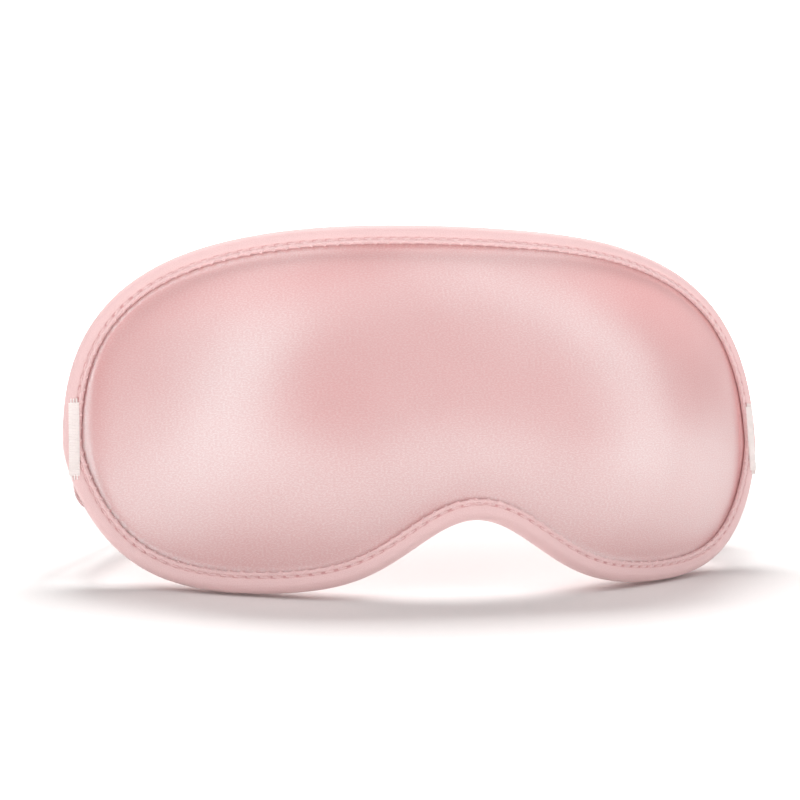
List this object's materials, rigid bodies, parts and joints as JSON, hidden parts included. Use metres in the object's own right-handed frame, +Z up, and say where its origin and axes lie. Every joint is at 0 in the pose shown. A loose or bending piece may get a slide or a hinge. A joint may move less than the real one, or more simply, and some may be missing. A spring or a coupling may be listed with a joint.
{
  "type": "eye massager mask",
  "caption": "Padded contoured eye mask on an elastic head strap, with film heaters, vibration motors and a control pod.",
  "frame": {"origin": "centre of the whole part's bounding box in plan, at the surface that its two lower lobes and its strap ring rest on", "axes": "+Z up, the mask's front faces -Y, the strap loop runs back along +Y, the wearer's left end of the mask is at +X"},
  "size_m": [0.2144, 0.135, 0.1005],
  "materials": {
    "satin": "satin",
    "foam": "matte",
    "carrier": "matte",
    "lining": "matte",
    "binding_tape": "satin",
    "film": "satin",
    "dark_plastic": "matte",
    "capsule": "matte",
    "steel": "satin",
    "brass": "satin",
    "thread": "satin",
    "elastic": "matte",
    "pink_plastic": "gloss",
    "pod_shell": "satin",
    "board": "satin",
    "cell": "satin",
    "button": "gloss",
    "lens": "gloss",
    "silicone": "matte",
    "lead_pink": "satin",
    "lead_red": "satin"
  },
  "bodies": {
    "mask": {"front_cover": "satin", "front_foam": "foam", "carrier_sheet": "carrier", "left_heating_film": "film", "right_heating_film": "film", "left_thermistor": "dark_plastic", "right_thermistor": "dark_plastic", "left_motor_base": "capsule", "right_motor_base": "capsule", "left_motor_lid": "capsule", "right_motor_lid": "capsule", "left_motor": "steel", "right_motor": "steel", "back_foam": "foam", "back_lining": "lining", "edge_binding": "binding_tape", "left_bartack": "thread", "right_bartack": "thread", "head_strap": "elastic", "strap_return": "elastic", "strap_tab": "elastic", "strap_ring": "pink_plastic", "pod_back_shell": "pod_shell", "pod_front_shell": "pod_shell", "pod_clip": "pod_shell", "pod_screws": "steel", "circuit_board": "board", "control_chips": "dark_plastic", "battery": "cell", "usb_socket": "steel", "tact_switch": "dark_plastic", "light_pipe": "lens", "junction_board": "board", "lead_grommet": "silicone", "main_lead": "lead_pink", "left_lead": "lead_red", "right_lead": "lead_red"},
    "left_rotor": {"left_rotor": "brass"},
    "right_rotor": {"right_rotor": "brass"},
    "power_button": {"power_button": "button"},
    "strap_slider": {"strap_slider": "pink_plastic"},
    "port_cover": {"port_cover": "silicone"}
  },
  "joints": [
    {"name": "left_rotor_spin", "type": "hinge", "parent": "mask", "child": "left_rotor", "pos_m": [-0.06006, -0.04557, 0.04779], "axis": [0.9245, -0.3681, 0.0986], "continuous": true},
    {"name": "right_rotor_spin", "type": "hinge", "parent": "mask", "child": "right_rotor", "pos_m": [0.06006, -0.04557, 0.04779], "axis": [0.9245, 0.3681, -0.0986], "continuous": true},
    {"name": "power_press", "type": "slide", "parent": "mask", "child": "power_button", "axis": [-0.866, -0.5, 0], "range_m": [0, 0.00045], "stiffness_N_per_m": 1500, "springref_m": -0.0002},
    {"name": "slider_travel", "type": "slide", "parent": "mask", "child": "strap_slider", "axis": [1, 0, 0], "range_m": [0, 0.044]},
    {"name": "port_cover_open", "type": "hinge", "parent": "mask", "child": "port_cover", "pos_m": [0.07234, 0.03983, 0.026], "axis": [0, 0, 1], "range_deg": [0, 95]}
  ]
}
